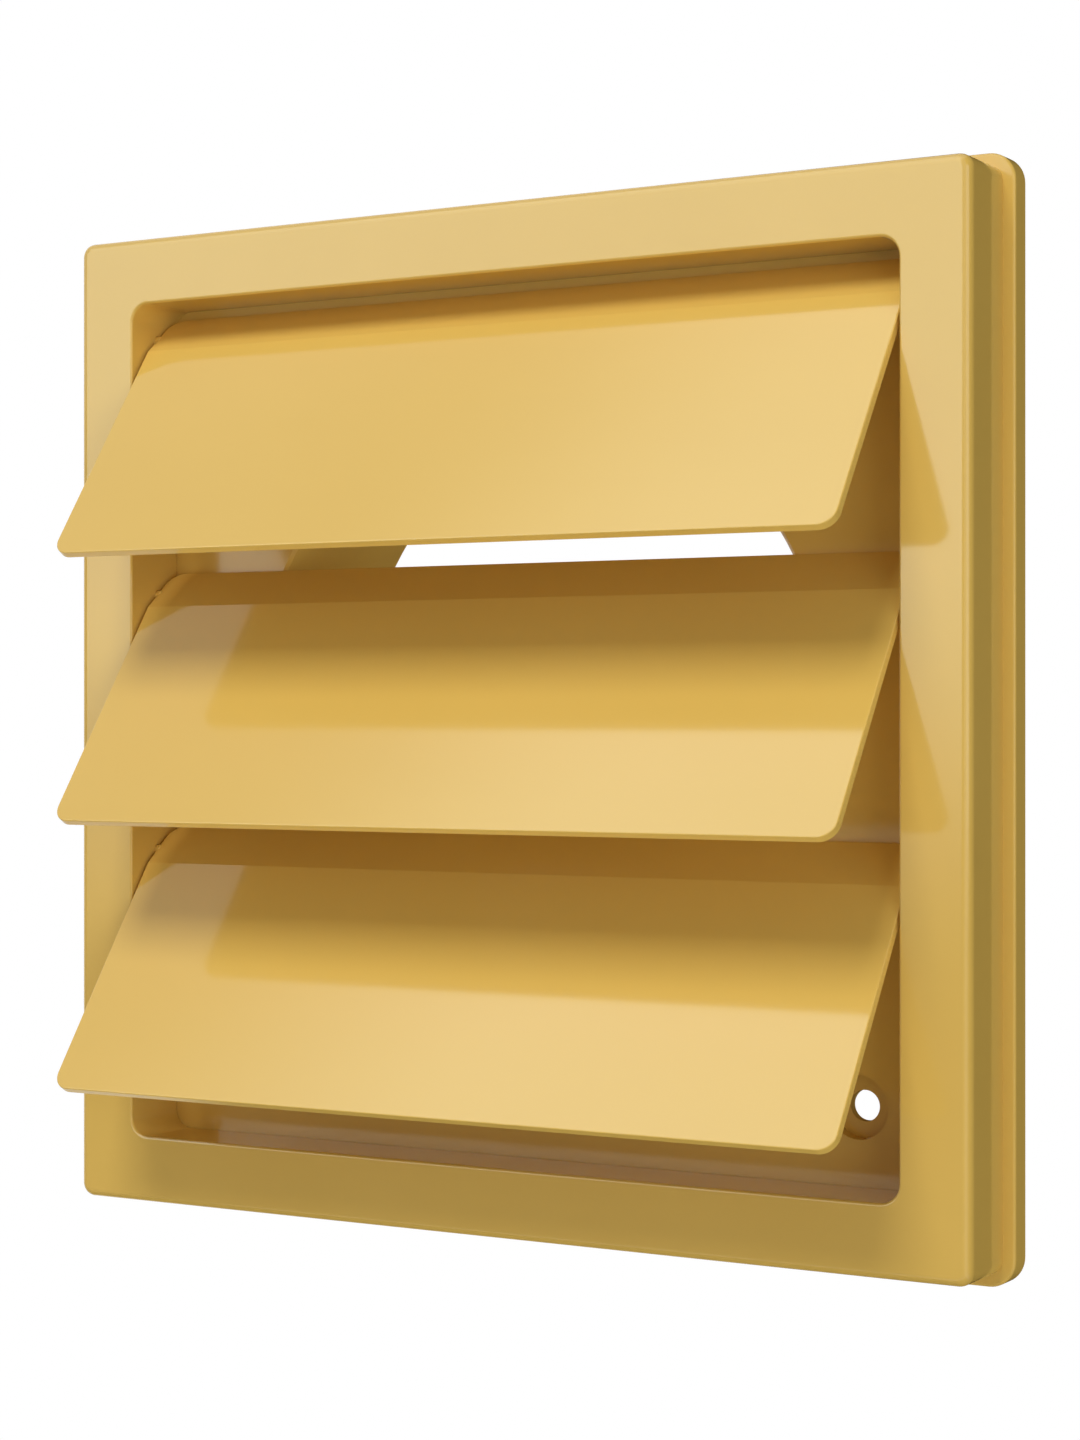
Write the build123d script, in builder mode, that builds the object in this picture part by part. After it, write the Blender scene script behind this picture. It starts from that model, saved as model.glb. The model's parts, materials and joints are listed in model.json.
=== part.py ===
"""Wall vent outlet: a square front frame over a back plate with a duct spigot, and three gravity flaps.

Millimetres. The wall is the plane y = 0 and the duct runs along +Y behind it. The front faces -Y,
+X is to the right as seen from the front and +Z is up. The flaps stand open, blown by the air.
"""

import os
from math import cos, radians, sin

from build123d import *

os.makedirs("parts", exist_ok=True)

# Front frame
opening_size = 126.5  # clear square between the inner walls
frame_border = 10.0  # width of the front face around the opening
frame_depth = 11.2  # front face to back plate
frame_wall = 2.0
frame_corner_radius = 2.0
frame_front_round = 1.3
opening_corner_radius = 2.8
opening_edge_round = 0.4
inner_wall_gap = 0.1  # between the inner walls and the plate

# Back plate
plate_margin = 1.75  # step of the plate beyond the frame
plate_thickness = 3.6
plate_skin = 2.0  # what is left in front of the hollowed back
plate_rim = 4.0  # rim that bears on the wall
plate_corner_radius = 3.8
plate_edge_round = 0.4

# Rim on the plate that locates the frame
locator_height = 3.0
locator_thickness = 1.5
locator_clearance = 0.2

# Duct spigot, for the inside of a 100 mm duct
spigot_diameter = 99.5
spigot_wall = 1.6
spigot_length = 25.0
spigot_lead_in = 0.6
duct_mouth_chamfer = 0.5

# Wall screws
screw_inset = 10.75  # from the opening's sides to the screw
screw_hole_diameter = 4.3
screw_recess_diameter = 8.8
screw_recess_depth = 2.2
screw_pad_wall = 2.0

# Flaps
flap_names = ("flap_upper", "flap_middle", "flap_lower")
flap_tilt = 35.2  # degrees that the blades stand open from the vertical
flap_thickness = 1.3
flap_side_clearance = 0.45
flap_lower_gap = 0.8  # from the lowest blade, hanging, to the opening's lower side
flap_corner_radius = 2.6
flap_edge_round = 0.2
lip_lean = 15.0  # degrees that the upper lip leans back from the blade
lip_drop = 3.3  # from the pivot down to the lip's crease, which the hanging flap above just reaches
lip_length = 8.4
lip_tip_thickness = 0.8

# Pivots
pivot_drop = 4.95  # below the opening's upper side
pivot_setback = 6.4  # behind the front face
pivot_depth = 1.5  # behind the blade's front
pin_diameter = 1.6
pin_clearance = 0.05  # radial
pin_engagement = 1.6  # length in the side wall
pin_root = 0.5  # length inside the lip

# Derived sizes
frame_size = opening_size + 2 * frame_border
plate_size = frame_size + 2 * plate_margin
plate_plane = Plane.XZ.offset(plate_thickness)
locator_size = frame_size - 2 * (frame_wall + locator_clearance)
duct_radius = spigot_diameter / 2 - spigot_wall
screw_spacing = opening_size - 2 * screw_inset
pin_radius = pin_diameter / 2
pivot_y = pivot_setback - plate_thickness - frame_depth
flap_pitch = (opening_size - pivot_drop - flap_lower_gap - lip_drop) / len(flap_names)
pivot_heights = [opening_size / 2 - pivot_drop - k * flap_pitch for k in range(len(flap_names))]
blade_length = flap_pitch + lip_drop
flap_half_width = opening_size / 2 - flap_side_clearance


# Front frame: a moulded ring, open at the back, with the pivot holes in its inner side walls
with BuildPart() as front_frame:
    with BuildSketch(plate_plane):
        RectangleRounded(frame_size, frame_size, frame_corner_radius)
        RectangleRounded(opening_size, opening_size, opening_corner_radius, mode=Mode.SUBTRACT)
    extrude(amount=frame_depth)
    front_face = front_frame.faces().sort_by(Axis.Y)[0]
    fillet(front_face.outer_wire().edges(), frame_front_round)
    front_face = front_frame.faces().sort_by(Axis.Y)[0]
    fillet(front_face.inner_wires().edges(), opening_edge_round)
    with BuildSketch(plate_plane):
        Rectangle(frame_size - 2 * frame_wall, frame_size - 2 * frame_wall)
        RectangleRounded(
            opening_size + 2 * frame_wall,
            opening_size + 2 * frame_wall,
            opening_corner_radius + frame_wall,
            mode=Mode.SUBTRACT,
        )
    extrude(amount=frame_depth - frame_wall, mode=Mode.SUBTRACT)
    with BuildSketch(plate_plane):
        Rectangle(frame_size - 2 * frame_wall, frame_size - 2 * frame_wall)
    extrude(amount=inner_wall_gap, mode=Mode.SUBTRACT)
    with BuildSketch(Plane.YZ):
        with Locations(*[(pivot_y, height) for height in pivot_heights]):
            Circle(pin_radius + pin_clearance)
    extrude(amount=opening_size / 2 + frame_wall, both=True, mode=Mode.SUBTRACT)
front_frame.part.label = "front_frame"
export_step(front_frame.part, "parts/front_frame.step")


# Back plate: hollowed behind its skin, with screw pads, the spigot and the frame's locating rim
with BuildPart() as back_plate:
    with BuildSketch(Plane.XZ):
        RectangleRounded(plate_size, plate_size, plate_corner_radius)
    extrude(amount=plate_thickness)
    fillet(back_plate.faces().sort_by(Axis.Y)[0].edges(), plate_edge_round)
    with BuildSketch(Plane.XZ):
        RectangleRounded(plate_size - 2 * plate_rim, plate_size - 2 * plate_rim, plate_corner_radius)
        with GridLocations(screw_spacing, screw_spacing, 2, 2):
            Circle(screw_recess_diameter / 2 + screw_pad_wall, mode=Mode.SUBTRACT)
    extrude(amount=plate_thickness - plate_skin, mode=Mode.SUBTRACT)
    with BuildSketch(Plane.XZ.offset(-spigot_length)):
        Circle(spigot_diameter / 2)
    extrude(amount=spigot_length + plate_thickness)
    chamfer(back_plate.faces().sort_by(Axis.Y)[-1].edges(), spigot_lead_in)
    with BuildSketch(plate_plane):
        Circle(duct_radius)
    extrude(amount=-plate_thickness - spigot_length, mode=Mode.SUBTRACT)
    duct_mouth = back_plate.faces().sort_by(Axis.Y)[0].inner_wires()
    chamfer(duct_mouth.edges(), duct_mouth_chamfer)
    with Locations(plate_plane):
        with GridLocations(screw_spacing, screw_spacing, 2, 2):
            CounterBoreHole(screw_hole_diameter / 2, screw_recess_diameter / 2, screw_recess_depth)
    with BuildSketch(plate_plane):
        Rectangle(locator_size, locator_size)
        Rectangle(
            locator_size - 2 * locator_thickness,
            locator_size - 2 * locator_thickness,
            mode=Mode.SUBTRACT,
        )
    extrude(amount=locator_height)
back_plate.part.label = "back_plate"
export_step(back_plate.part, "parts/back_plate.step")


# Flaps: thin blades with a creased lip that leans back over the pivot, and a pin at each end
tilt = radians(flap_tilt)
lean = radians(lip_lean)
for name, pivot_height in zip(flap_names, pivot_heights):
    pivot = (0, pivot_y, pivot_height)
    blade_up = Axis(pivot, (0, sin(tilt), cos(tilt)))
    blade_front = Axis(pivot, (0, -cos(tilt), sin(tilt)))
    # In the section, +x is behind the blade and +y runs up along it from the pivot
    section_plane = Plane(pivot, x_dir=-blade_front.direction, z_dir=(1, 0, 0))
    crease = Vector(-pivot_depth, -lip_drop)
    lip_up = Vector(sin(lean), cos(lean))
    lip_back = Vector(cos(lean), -sin(lean))
    with BuildPart() as flap:
        with BuildSketch(section_plane):
            with BuildLine():
                Polyline(
                    (-pivot_depth, -blade_length),
                    crease,
                    crease + lip_up * lip_length,
                    crease + lip_up * lip_length + lip_back * lip_tip_thickness,
                    (flap_thickness - pivot_depth, -lip_drop),
                    (flap_thickness - pivot_depth, -blade_length),
                    close=True,
                )
            make_face()
        extrude(amount=flap_half_width, both=True)
        for end in (0, -1):
            end_face = flap.faces().sort_by(blade_up)[end]
            fillet(end_face.edges().filter_by(Axis.X, reverse=True), flap_corner_radius)
        long_edges = flap.edges().filter_by(blade_front, reverse=True)
        blade_edges = long_edges.filter_by_position(blade_up, -blade_length, -lip_drop, (True, False))
        fillet(blade_edges, flap_edge_round)
        for side in (-1, 1):
            with BuildSketch(section_plane.offset(side * (flap_half_width - pin_root))):
                Circle(pin_radius)
            extrude(amount=side * (pin_root + flap_side_clearance + pin_engagement))
    flap.part.label = name
    export_step(flap.part, f"parts/{name}.step")
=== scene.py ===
"""Wall vent outlet in golden moulded plastic: a frame, a back plate with a duct spigot, and three flaps.

Metres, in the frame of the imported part: the wall is the plane y = 0, the front faces -Y and +Z is up.
"""

import json
import logging
from dataclasses import dataclass, replace
from enum import Enum
from math import cos, pi, radians, sin

import bmesh
import bpy
from mathutils import Matrix, Quaternion, Vector


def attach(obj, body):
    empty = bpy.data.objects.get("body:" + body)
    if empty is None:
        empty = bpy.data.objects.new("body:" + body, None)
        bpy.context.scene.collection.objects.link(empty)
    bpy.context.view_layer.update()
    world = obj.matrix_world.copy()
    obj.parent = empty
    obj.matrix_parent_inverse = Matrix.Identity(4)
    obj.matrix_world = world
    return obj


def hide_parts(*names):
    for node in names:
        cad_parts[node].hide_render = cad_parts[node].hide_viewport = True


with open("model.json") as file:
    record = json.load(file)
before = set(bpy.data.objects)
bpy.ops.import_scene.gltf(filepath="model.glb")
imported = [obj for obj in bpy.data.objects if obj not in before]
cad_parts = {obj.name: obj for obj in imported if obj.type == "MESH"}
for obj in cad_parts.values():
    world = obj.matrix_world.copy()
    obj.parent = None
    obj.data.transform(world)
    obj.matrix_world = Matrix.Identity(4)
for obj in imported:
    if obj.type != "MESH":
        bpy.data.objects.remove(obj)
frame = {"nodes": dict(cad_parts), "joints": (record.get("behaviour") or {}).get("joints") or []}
bpy.context.view_layer.update()

LOG = logging.getLogger("wall_vent_outlet")
MM = 0.001

Colour = tuple[float, float, float]
Pair = tuple[float, float]
Socket = bpy.types.NodeSocket


class NodeSheet:
    """A material's or the world's node tree, with short calls to add nodes and join them."""

    def __init__(self, owner: bpy.types.ID) -> None:
        """Empties the owner's node tree.

        Args:
            owner: The material or world to draw in.
        """
        owner.use_nodes = True
        self.tree = owner.node_tree
        self.tree.nodes.clear()

    def add(self, kind: str, **settings: object) -> bpy.types.Node:
        """Adds a node.

        Args:
            kind: The node's type, without the word ShaderNode.
            settings: Its own settings, and the values of its inputs by name with _ for spaces.

        Returns:
            The new node.
        """
        node = self.tree.nodes.new("ShaderNode" + kind)
        for name, value in settings.items():
            if hasattr(node, name):
                setattr(node, name, value)
            else:
                node.inputs[name.replace("_", " ")].default_value = value
        return node

    def join(self, source: Socket, target: Socket) -> None:
        """Joins an output to an input."""
        self.tree.links.new(source, target)

    def noise(self, place: Socket, scale: float, detail: float, roughness: float) -> Socket:
        """Adds a noise of 0 to 1.

        Args:
            place: The coordinates' output.
            scale: How many features there are to a metre.
            detail: How many finer layers are added.
            roughness: How strong the finer layers are.

        Returns:
            The noise's output.
        """
        node = self.add("TexNoise", Scale=scale, Detail=detail, Roughness=roughness)
        self.join(place, node.inputs["Vector"])
        return node.outputs["Fac"]

    def ramp(self, source: Socket, span: Pair, dark: Colour, light: Colour) -> Socket:
        """Turns a value into a colour.

        Args:
            source: The value's output.
            span: The values that give the first and the second colour.
            dark: The first colour.
            light: The second colour.

        Returns:
            The colour's output.
        """
        node = self.add("ValToRGB")
        for stop, position, colour in zip(node.color_ramp.elements, span, (dark, light)):
            stop.position, stop.color = position, (*colour, 1.0)
        self.join(source, node.inputs["Fac"])
        return node.outputs["Color"]

    def spread(self, source: Socket, low: float, high: float) -> Socket:
        """Maps a value of 0 to 1 on to a range.

        Args:
            source: The value's output.
            low: What 0 becomes.
            high: What 1 becomes.

        Returns:
            The mapped value's output.
        """
        node = self.add("MapRange", To_Min=low, To_Max=high)
        self.join(source, node.inputs["Value"])
        return node.outputs["Result"]

    def smooth(self, source: Socket, zero: float, one: float) -> Socket:
        """Eases a value from 0 to 1 over a range.

        Args:
            source: The value's output.
            zero: The value that gives 0.
            one: The value that gives 1.

        Returns:
            The eased value's output.
        """
        node = self.add("MapRange", interpolation_type="SMOOTHSTEP", From_Min=zero, From_Max=one)
        self.join(source, node.inputs["Value"])
        return node.outputs["Result"]

    def reckon(self, operation: str, first: Socket, second: Socket) -> Socket:
        """Works out a sum on two values.

        Args:
            operation: The sum, in the Math node's word.
            first: The first value's output.
            second: The second value's output.

        Returns:
            The answer's output.
        """
        node = self.add("Math", operation=operation)
        self.join(first, node.inputs[0])
        self.join(second, node.inputs[1])
        return node.outputs[0]

    def bump(self, height: Socket, distance: float) -> bpy.types.Node:
        """Adds a bump.

        Args:
            height: The height's output, of 0 to 1.
            distance: How high 1 stands.

        Returns:
            The bump's node.
        """
        node = self.add("Bump", Strength=1.0, Distance=distance)
        self.join(height, node.inputs["Height"])
        return node

    def mix(self, share: Socket, first: Socket, second: Socket) -> Socket:
        """Mixes two shaders.

        Args:
            share: The second shader's share.
            first: The first shader's output.
            second: The second shader's output.

        Returns:
            The mixed shader's output.
        """
        node = self.add("MixShader")
        for source, target in zip((share, first, second), node.inputs):
            self.join(source, target)
        return node.outputs[0]

    def show(self, shader: Socket, output: str = "OutputMaterial") -> None:
        """Joins a shader to the sheet's output."""
        self.join(shader, self.add(output).inputs["Surface"])


@dataclass(frozen=True)
class MouldedPlastic:
    """A glossy through-coloured plastic, with the faint clouding and ripple that a mould leaves."""

    name: str
    colour: Colour
    clouded: Colour
    specular: float
    roughness: Pair
    ripple: float
    grain: float
    flow: tuple[float, float, float]
    index: float = 1.5
    cloud_scale: float = 38.0
    cloud_span: Pair = (0.3, 0.7)
    speck_scale: float = 2600.0
    wave_scale: float = 140.0

    def material(self) -> bpy.types.Material:
        """Draws the plastic's nodes.

        Returns:
            The material.
        """
        made = bpy.data.materials.new(self.name)
        sheet = NodeSheet(made)
        place = sheet.add("TexCoord").outputs["Object"]
        along = sheet.add("Mapping", Scale=self.flow)
        sheet.join(place, along.inputs["Vector"])

        cloud = sheet.noise(along.outputs["Vector"], self.cloud_scale, 3.0, 0.45)
        speck = sheet.noise(place, self.speck_scale, 2.0, 0.6)
        wave = sheet.noise(place, self.wave_scale, 1.0, 0.3)

        shader = sheet.add("BsdfPrincipled", IOR=self.index, Specular_IOR_Level=self.specular)
        base = sheet.ramp(cloud, self.cloud_span, self.clouded, self.colour)
        sheet.join(base, shader.inputs["Base Color"])
        sheet.join(sheet.spread(speck, *self.roughness), shader.inputs["Roughness"])

        ripple = sheet.bump(wave, self.ripple)
        grain = sheet.bump(speck, self.grain)
        sheet.join(ripple.outputs["Normal"], grain.inputs["Normal"])
        sheet.join(grain.outputs["Normal"], shader.inputs["Normal"])
        sheet.show(shader.outputs["BSDF"])
        return made


BODY_PLASTIC = MouldedPlastic(
    name="golden_body_plastic",
    colour=(0.750, 0.490, 0.108),
    clouded=(0.728, 0.472, 0.100),
    specular=0.5,
    roughness=(0.07, 0.12),
    ripple=3e-6,
    grain=4e-7,
    flow=(1.0, 1.0, 0.6),
)
PLATE_PLASTIC = replace(
    BODY_PLASTIC,
    name="golden_plate_plastic",
    specular=0.36,
    roughness=(0.11, 0.17),
    grain=5e-7,
)
FLAP_PLASTIC = replace(
    BODY_PLASTIC,
    name="golden_flap_plastic",
    colour=(0.818, 0.535, 0.118),
    clouded=(0.798, 0.519, 0.111),
    flow=(0.5, 1.0, 1.0),
)


class Row(Enum):
    """The three flaps, from the top."""

    UPPER = "upper"
    MIDDLE = "middle"
    LOWER = "lower"


@dataclass
class Housing:
    """The front frame on its back plate, which carries the flaps. Both keep their CAD shapes."""

    frame_finish: MouldedPlastic = BODY_PLASTIC
    plate_finish: MouldedPlastic = PLATE_PLASTIC

    def dress(self) -> None:
        """Gives the frame and the plate their plastic."""
        for node, finish in (("front_frame", self.frame_finish), ("back_plate", self.plate_finish)):
            frame["nodes"][node].data.materials.clear()
            frame["nodes"][node].data.materials.append(finish.material())
            LOG.info("%s dressed in %s", node, finish.name)


@dataclass
class Flap:
    """One gravity flap: a thin blade with a creased lip that leans back, and a pin at each end."""

    row: Row
    half_width: float = 62.8 * MM
    tilt: float = 35.2
    thickness: float = 1.3 * MM
    blade_length: float = 42.45 * MM
    corner_radius: float = 2.6 * MM
    corner_steps: int = 10
    edge_round: float = 0.2 * MM
    edge_steps: int = 4
    edge_angle: float = 40.0
    lip_lean: float = 15.0
    lip_drop: float = 3.3 * MM
    lip_length: float = 8.4 * MM
    lip_tip: float = 0.8 * MM
    pivot_depth: float = 1.5 * MM
    pin_radius: float = 0.8 * MM
    pin_root: float = 0.5 * MM
    pin_reach: float = 2.05 * MM
    pin_sides: int = 40

    def pivot(self) -> Vector:
        """Finds the middle of the flap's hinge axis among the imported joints."""
        hinge = self.row.value + "_flap_hinge"
        return next(Vector(joint["pos_m"]) for joint in frame["joints"] if joint["name"] == hinge)

    def outline(self) -> list[Pair]:
        """Goes round the flap's front, over the lip first and then under the blade.

        Returns:
            Distances across from the flap's middle and up along it from the pivot. The first is the
            crease's right end.
        """
        inner = self.half_width - self.corner_radius
        upper = self.lip_length - self.lip_drop - self.corner_radius
        lower = self.corner_radius - self.blade_length
        corners = ((inner, upper), (-inner, upper), (-inner, lower), (inner, lower))
        spots = [(self.half_width, -self.lip_drop)]
        for quarter, (across, along) in enumerate(corners):
            for step in range(self.corner_steps + 1):
                turn = (quarter + step / self.corner_steps) * pi / 2
                outward = self.corner_radius * cos(turn), self.corner_radius * sin(turn)
                spots.append((across + outward[0], along + outward[1]))
            if quarter == 1:
                spots.append((-self.half_width, -self.lip_drop))
        return spots

    def place(self, across: float, along: float, depth: float) -> Vector:
        """Finds a point of the flap as it stands open.

        Args:
            across: Its distance from the flap's middle, to the right.
            along: Its distance up along the front from the pivot, round the crease.
            depth: 0 on the front and 1 on the back.

        Returns:
            The point in the part's frame.
        """
        crease = Vector((-self.pivot_depth, -self.lip_drop))
        lean = radians(self.lip_lean)
        lip_up = Vector((sin(lean), cos(lean)))
        lip_back = Vector((cos(lean), -sin(lean)))
        tip = crease + lip_up * self.lip_length
        through = Vector((self.thickness, 0.0))
        if along > -self.lip_drop:
            share = (along + self.lip_drop) / self.lip_length
            front = crease.lerp(tip, share)
            back = (crease + through).lerp(tip + lip_back * self.lip_tip, share)
        else:
            front = Vector((-self.pivot_depth, along))
            back = front + through
        section = front.lerp(back, depth)
        turn = radians(self.tilt)
        behind = Vector((0.0, cos(turn), -sin(turn)))
        upward = Vector((0.0, sin(turn), cos(turn)))
        return self.pivot() + Vector((across, 0.0, 0.0)) + behind * section.x + upward * section.y

    def add_sheet(self, shape: bmesh.types.BMesh) -> None:
        """Adds the blade and its lip as one sheet with a sharp crease.

        Args:
            shape: The flap's mesh.
        """
        spots = self.outline()
        left = spots.index((-self.half_width, -self.lip_drop))
        front, back = ([shape.verts.new(self.place(*spot, depth)) for spot in spots] for depth in (0.0, 1.0))
        for side in (front, back):
            shape.faces.new(side[:left + 1])
            shape.faces.new(side[left:] + side[:1])
            shape.edges.get((side[0], side[left])).smooth = False
        for k, corner in enumerate(front):
            shape.faces.new((front[k - 1], corner, back[k], back[k - 1]))

    def add_pins(self, shape: bmesh.types.BMesh) -> None:
        """Adds the pivot pins, rooted in the lip's ends.

        Args:
            shape: The flap's mesh.
        """
        length = self.pin_root + self.pin_reach
        for side in (-1, 1):
            middle = self.pivot()
            middle.x = side * (self.half_width - self.pin_root + length / 2)
            bmesh.ops.create_cone(
                shape,
                cap_ends=True,
                segments=self.pin_sides,
                radius1=self.pin_radius,
                radius2=self.pin_radius,
                depth=length,
                matrix=Matrix.Translation(middle) @ Matrix.Rotation(pi / 2, 4, "Y"),
            )

    def build(self) -> bpy.types.Object:
        """Makes the flap's mesh and rounds its edges.

        Returns:
            The flap, riding on its own body in place of its CAD node.
        """
        name = "flap_" + self.row.value
        shape = bmesh.new()
        self.add_sheet(shape)
        self.add_pins(shape)
        bmesh.ops.recalc_face_normals(shape, faces=shape.faces)
        for face in shape.faces:
            face.smooth = True
        data = bpy.data.meshes.new(name + "_moulding")
        shape.to_mesh(data)
        shape.free()
        flap = bpy.data.objects.new(name + "_moulding", data)
        bpy.context.scene.collection.objects.link(flap)
        rounding = flap.modifiers.new("edge_round", "BEVEL")
        rounding.width = self.edge_round
        rounding.segments = self.edge_steps
        rounding.limit_method = "ANGLE"
        rounding.angle_limit = radians(self.edge_angle)
        rounding.use_clamp_overlap = False
        rounding.harden_normals = True
        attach(flap, self.row.value + "_flap")
        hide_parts(name)
        return flap

    def dress(self, flap: bpy.types.Object, plastic: bpy.types.Material) -> None:
        """Gives the flap the plastic that all the flaps share."""
        flap.data.materials.append(plastic)
        LOG.info("%s built and dressed in %s", flap.name, plastic.name)


@dataclass(frozen=True)
class Spot:
    """A place around the vent, as seen from its middle, with the bearing from the front to the right."""

    bearing: float
    height: float
    distance: float
    roll: float = 0.0

    def direction(self) -> Vector:
        """Gives the unit vector from the vent towards the place."""
        turn, lift = radians(self.bearing), radians(self.height)
        return Vector((sin(turn) * cos(lift), -cos(turn) * cos(lift), sin(lift)))

    def hang(self, thing: bpy.types.Object) -> None:
        """Puts a lamp or card at the place, square to the vent's middle.

        Args:
            thing: The object to place.
        """
        towards = self.direction()
        thing.location = towards * self.distance
        facing = towards.to_track_quat("Z", "Y") @ Quaternion((0.0, 0.0, 1.0), radians(self.roll))
        thing.rotation_euler = facing.to_euler()


@dataclass(frozen=True)
class SoftBox:
    """A rectangular soft light that faces the vent and shades it, and doesn't show in its gloss."""

    name: str
    spot: Spot
    size: Pair
    radiance: float

    def place(self) -> None:
        """Hangs the light."""
        lamp = bpy.data.lights.new(self.name, "AREA")
        lamp.shape = "RECTANGLE"
        lamp.size, lamp.size_y = self.size
        lamp.energy = self.radiance * pi * self.size[0] * self.size[1]
        lit = bpy.data.objects.new(self.name, lamp)
        lit.visible_glossy = False
        bpy.context.scene.collection.objects.link(lit)
        self.spot.hang(lit)
        LOG.info("%s hung", self.name)


@dataclass(frozen=True)
class Card:
    """A card with soft edges that only shows in the vent's gloss: a bright one, or a dark flag."""

    name: str
    spot: Spot
    across: Pair
    up: Pair
    radiance: Colour
    side_fade: Pair = (0.30, 0.30)
    end_fade: Pair = (0.30, 0.30)

    def place(self) -> None:
        """Hangs the card."""
        (left, right), (low, high) = self.across, self.up
        data = bpy.data.meshes.new(self.name)
        corners = [(left, low, 0.0), (right, low, 0.0), (right, high, 0.0), (left, high, 0.0)]
        data.from_pydata(corners, [], [(0, 1, 2, 3)])
        data.materials.append(self.material())
        card = bpy.data.objects.new(self.name, data)
        card.visible_camera = False
        card.visible_diffuse = False
        card.visible_transmission = False
        card.visible_shadow = False
        bpy.context.scene.collection.objects.link(card)
        self.spot.hang(card)
        LOG.info("%s hung", self.name)

    def material(self) -> bpy.types.Material:
        """Draws the card's glow, which fades out at its edges.

        Returns:
            The material.
        """
        made = bpy.data.materials.new(self.name)
        sheet = NodeSheet(made)
        place = sheet.add("SeparateXYZ")
        sheet.join(sheet.add("TexCoord").outputs["Object"], place.inputs["Vector"])
        across, up = place.outputs["X"], place.outputs["Y"]
        mask = sheet.smooth(across, self.across[0], self.across[0] + self.side_fade[0])
        for value, edge, inner in (
            (across, self.across[1], self.across[1] - self.side_fade[1]),
            (up, self.up[0], self.up[0] + self.end_fade[0]),
            (up, self.up[1], self.up[1] - self.end_fade[1]),
        ):
            mask = sheet.reckon("MULTIPLY", mask, sheet.smooth(value, edge, inner))
        clear = sheet.add("BsdfTransparent")
        glow = sheet.add("Emission", Strength=1.0, Color=(*self.radiance, 1.0))
        sheet.show(sheet.mix(mask, clear.outputs[0], glow.outputs[0]))
        return made


LAMPS = (
    SoftBox("key_softbox", Spot(-2.0, 48.0, 1.50), size=(0.60, 0.56), radiance=10.1),
    SoftBox("side_softbox", Spot(54.0, -4.0, 1.40), size=(0.90, 0.90), radiance=2.10),
    SoftBox("rear_softbox", Spot(249.0, 15.0, 1.50), size=(0.70, 0.50), radiance=11.0),
)
BLACK: Colour = (0.0, 0.0, 0.0)
CARDS = (
    Card("gloss_card", Spot(-32.0, 32.0, 1.50, roll=5.0), across=(-0.57, 0.90), up=(-1.24, 2.40),
         radiance=(3.52, 3.76, 3.52), side_fade=(0.28, 0.30), end_fade=(0.50, 2.10)),
    Card("side_card", Spot(54.0, 12.0, 1.40), across=(-0.45, 0.45), up=(-0.47, 0.45),
         radiance=(2.10, 2.10, 2.10), side_fade=(0.04, 0.04), end_fade=(0.16, 0.04)),
    Card("low_flag", Spot(-32.0, -33.0, 2.20), across=(-2.80, 2.80), up=(-1.80, 1.98),
         radiance=(0.20, 0.20, 0.20), end_fade=(0.30, 0.15)),
    Card("low_strip", Spot(-20.0, -39.0, 2.10), across=(-2.60, 2.60), up=(-0.22, 0.22),
         radiance=(1.50, 1.50, 1.50), end_fade=(0.20, 0.20)),
    Card("right_flag", Spot(100.0, 20.0, 1.75), across=(-2.20, 2.20), up=(-2.20, 2.20), radiance=BLACK),
    Card("under_flag", Spot(0.0, -89.9, 1.00), across=(-0.95, 0.95), up=(-0.95, 0.95),
         radiance=BLACK, side_fade=(0.10, 0.10), end_fade=(0.10, 0.10)),
    Card("rear_flag", Spot(150.0, 0.0, 1.20), across=(-2.20, 2.20), up=(-2.20, 2.20), radiance=BLACK),
)


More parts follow.
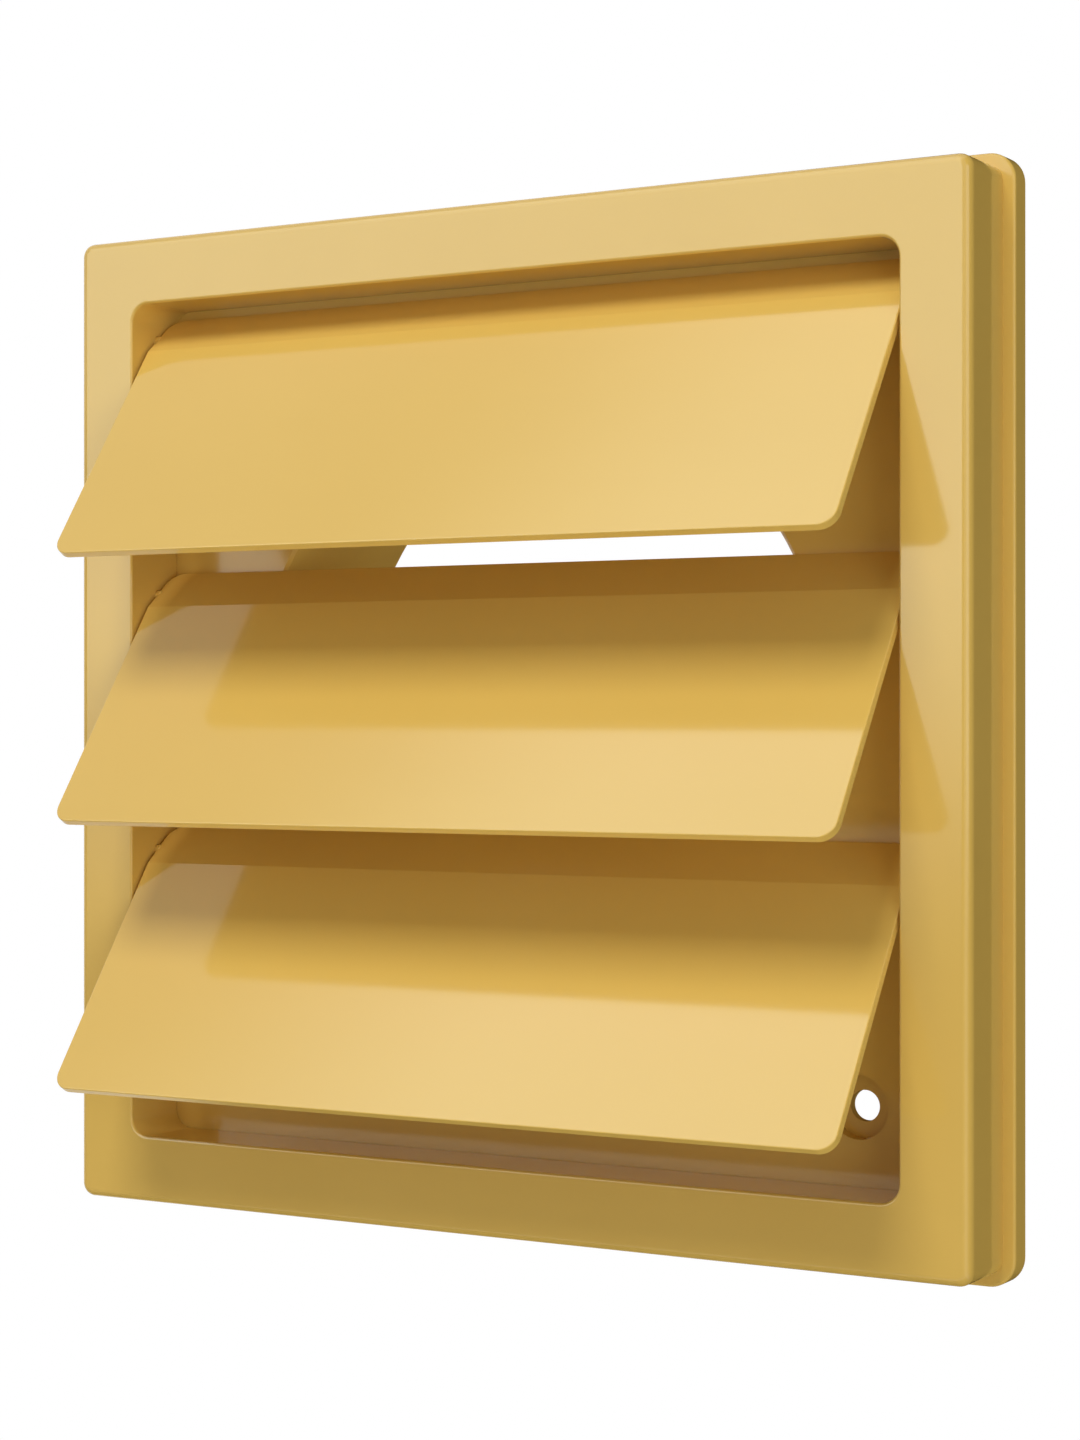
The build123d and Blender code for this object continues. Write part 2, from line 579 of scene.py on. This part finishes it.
@dataclass
class Studio:
    """The camera, the lights, the white surround and the pale floor."""

    lens: float = 72.857
    sensor: float = 36.0
    clip: Pair = (0.01, 50.0)
    eye: tuple[float, float, float] = (0.215956, -0.365638, 0.0)
    bearing: float = 30.538
    white: tuple[float, float, float, float] = (1.0, 1.0, 1.0, 1.0)
    front_fill: float = 0.35
    rear_fill: float = 0.13
    fill_turn: float = 0.7
    floor_height: float = -0.36
    floor_radius: float = 0.55
    floor_sides: int = 96
    floor_colour: tuple[float, float, float, float] = (0.84, 0.84, 0.84, 1.0)
    lamps: tuple[SoftBox, ...] = LAMPS
    cards: tuple[Card, ...] = CARDS

    def build(self) -> None:
        """Sets up the whole studio."""
        self.camera()
        self.surround()
        self.floor()
        for light in (*self.lamps, *self.cards):
            light.place()

    def camera(self) -> None:
        """Stands the camera where the photograph was taken."""
        lens = bpy.data.cameras.new("camera")
        lens.lens = self.lens
        lens.sensor_width = self.sensor
        lens.clip_start, lens.clip_end = self.clip
        eye = bpy.data.objects.new("camera", lens)
        eye.location = self.eye
        eye.rotation_euler = (radians(90.0), 0.0, radians(self.bearing))
        bpy.context.scene.collection.objects.link(eye)
        bpy.context.scene.camera = eye
        LOG.info("camera placed")

    def surround(self) -> None:
        """Makes the world white to look at and in reflections, and a soft fill from the front as a light."""
        world = bpy.data.worlds.new("surround")
        bpy.context.scene.world = world
        sheet = NodeSheet(world)
        path = sheet.add("LightPath").outputs
        seen = path["Is Camera Ray"]
        for ray in ("Is Glossy Ray", "Is Transmission Ray"):
            seen = sheet.reckon("MAXIMUM", seen, path[ray])
        backdrop = sheet.add("Background", Color=self.white, Strength=1.0)
        fill = sheet.add("Background", Color=self.white)
        towards = sheet.add("SeparateXYZ")
        sheet.join(sheet.add("TexCoord").outputs["Generated"], towards.inputs["Vector"])
        front = sheet.smooth(towards.outputs["Y"], self.fill_turn, -self.fill_turn)
        sheet.join(sheet.spread(front, self.rear_fill, self.front_fill), fill.inputs["Strength"])
        sheet.show(sheet.mix(seen, fill.outputs[0], backdrop.outputs[0]), "OutputWorld")
        LOG.info("surround lit")

    def floor(self) -> None:
        """Lays the pale floor under the vent."""
        bpy.ops.mesh.primitive_circle_add(
            vertices=self.floor_sides,
            radius=self.floor_radius,
            fill_type="NGON",
            location=(0.0, 0.0, self.floor_height),
        )
        floor = bpy.context.object
        floor.name = "floor"
        pale = bpy.data.materials.new("pale_floor")
        sheet = NodeSheet(pale)
        sheet.show(sheet.add("BsdfPrincipled", Base_Color=self.floor_colour, Roughness=0.9).outputs["BSDF"])
        floor.data.materials.append(pale)
        floor.visible_glossy = False
        LOG.info("floor laid")


def write_sizes() -> None:
    """Brings the scene's object transforms up to date."""
    bpy.context.view_layer.update()


def main() -> None:
    """Builds the vent and its studio."""
    logging.basicConfig(level=logging.INFO, format="%(name)s: %(message)s")
    bpy.context.scene.view_settings.view_transform = "Standard"
    Housing().dress()
    plastic = FLAP_PLASTIC.material()
    for row in Row:
        flap = Flap(row)
        flap.dress(flap.build(), plastic)
    Studio().build()
    write_sizes()


if __name__ == "__main__":
    main()
